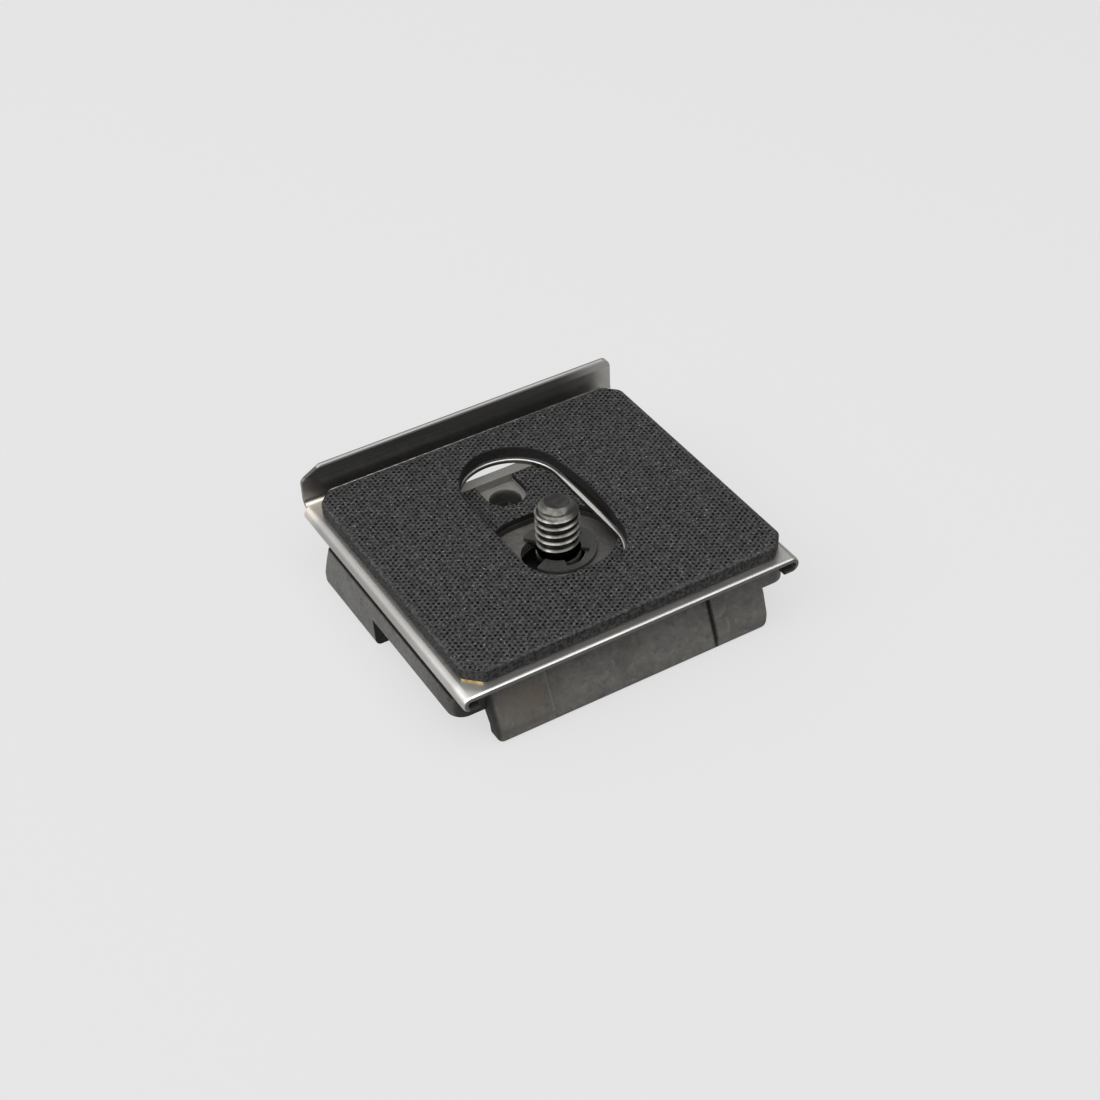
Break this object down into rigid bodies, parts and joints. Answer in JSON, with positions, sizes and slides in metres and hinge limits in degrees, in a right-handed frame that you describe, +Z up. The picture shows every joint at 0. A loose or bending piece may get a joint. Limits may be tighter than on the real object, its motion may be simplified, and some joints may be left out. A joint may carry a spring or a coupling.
{
  "type": "tripod quick release plate",
  "caption": "Low dovetail plate with a camera screw in a slot, rubber-faced sliding sheet with an upturned anti-twist lip, and a folding wire ring on the screw head.",
  "frame": {"origin": "centre of the bounding box in X and Y, on the surface that the plate stands on", "axes": "+Z up, +X along the lip, +Y from the plain front edge of the sheet towards the lip"},
  "size_m": [0.0524, 0.0486, 0.0168],
  "materials": {
    "cast_base": "satin cast paint",
    "rubber": "matte with a fine knurl",
    "sheet_steel": "brushed",
    "adhesive": "thin amber film",
    "black_steel": "black oxide",
    "wire_steel": "bright drawn wire"
  },
  "bodies": {
    "base": {"base_plate": "cast_base", "base_pad": "rubber"},
    "sheet": {"slide_plate": "sheet_steel", "pad_adhesive": "adhesive", "top_pad": "rubber"},
    "clip": {"retaining_clip": "black_steel"},
    "screw": {"camera_screw": "black_steel"},
    "ring": {"d_ring": "wire_steel"}
  },
  "joints": [
    {"name": "sheet_slide", "type": "slide", "parent": "base", "child": "sheet", "axis": [0, 1, 0], "range_m": [-0.0155, 0.0065]},
    {"name": "screw_slide", "type": "slide", "parent": "base", "child": "clip", "axis": [1, 0, 0], "range_m": [-0.0022, 0.0004]},
    {"name": "screw_turn", "type": "hinge", "parent": "clip", "child": "screw", "pos_m": [0.0009, -0.0024, 0.0125], "axis": [0, 0, 1], "continuous": true},
    {"name": "ring_fold", "type": "hinge", "parent": "screw", "child": "ring", "pos_m": [0.0009, -0.0024, 0.0043], "axis": [1, 0, 0], "range_deg": [-180, 0]}
  ]
}
